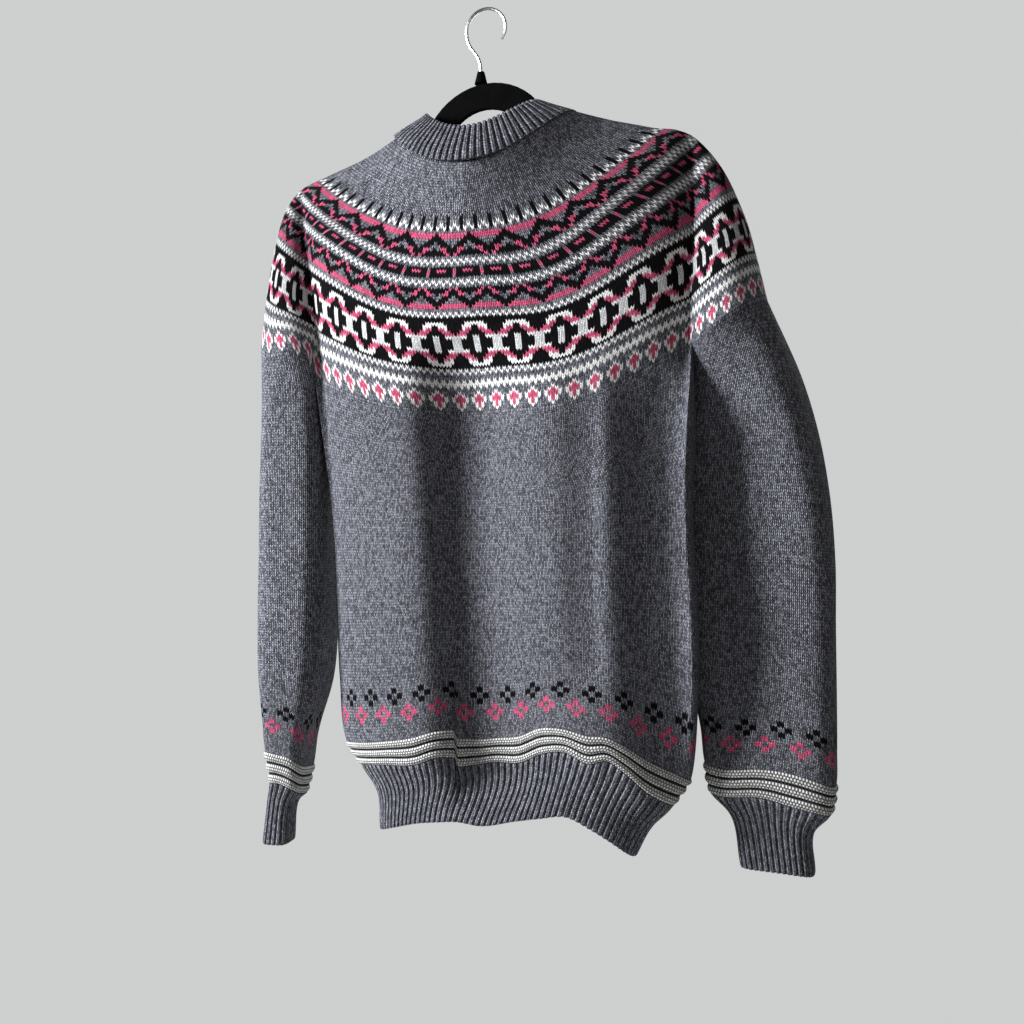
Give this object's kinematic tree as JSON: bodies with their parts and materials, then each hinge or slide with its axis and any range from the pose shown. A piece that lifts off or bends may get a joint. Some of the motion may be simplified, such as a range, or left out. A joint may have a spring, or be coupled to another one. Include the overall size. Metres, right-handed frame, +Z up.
{
  "type": "alpaca sweater on a clothes hanger",
  "caption": "Long-sleeved knitted sweater with a round patterned yoke, ribbed collar, hem and cuffs, hanging empty on a slim hanger with a wire hook.",
  "frame": {"origin": "inside of the hook's bend, where the hanger rests on a rail", "axes": "+Z up, -Y towards the front of the sweater, +X towards the wearer's left sleeve"},
  "size_m": [0.5571, 0.1443, 0.809],
  "materials": {
    "grey_alpaca_knit": "plain and ribbed knit in heathered grey yarn, with bands of black, rose, ecru and pale grey on the yoke",
    "pale_alpaca_ridges": "raised knitted ridges in ecru yarn",
    "black_flock": "velvet flock",
    "steel_wire": "satin"
  },
  "bodies": {
    "root": {"collar": "grey_alpaca_knit", "yoke": "grey_alpaca_knit", "front_body": "grey_alpaca_knit", "back_body": "grey_alpaca_knit", "front_welt": "pale_alpaca_ridges", "back_welt": "pale_alpaca_ridges", "front_hem_rib": "grey_alpaca_knit", "back_hem_rib": "grey_alpaca_knit", "left_sleeve": "grey_alpaca_knit", "right_sleeve": "grey_alpaca_knit", "left_sleeve_welt": "pale_alpaca_ridges", "right_sleeve_welt": "pale_alpaca_ridges", "left_cuff": "grey_alpaca_knit", "right_cuff": "grey_alpaca_knit", "hanger": "black_flock", "hanger_ferrule": "black_flock", "hanger_hook": "steel_wire"}
  },
  "joints": []
}
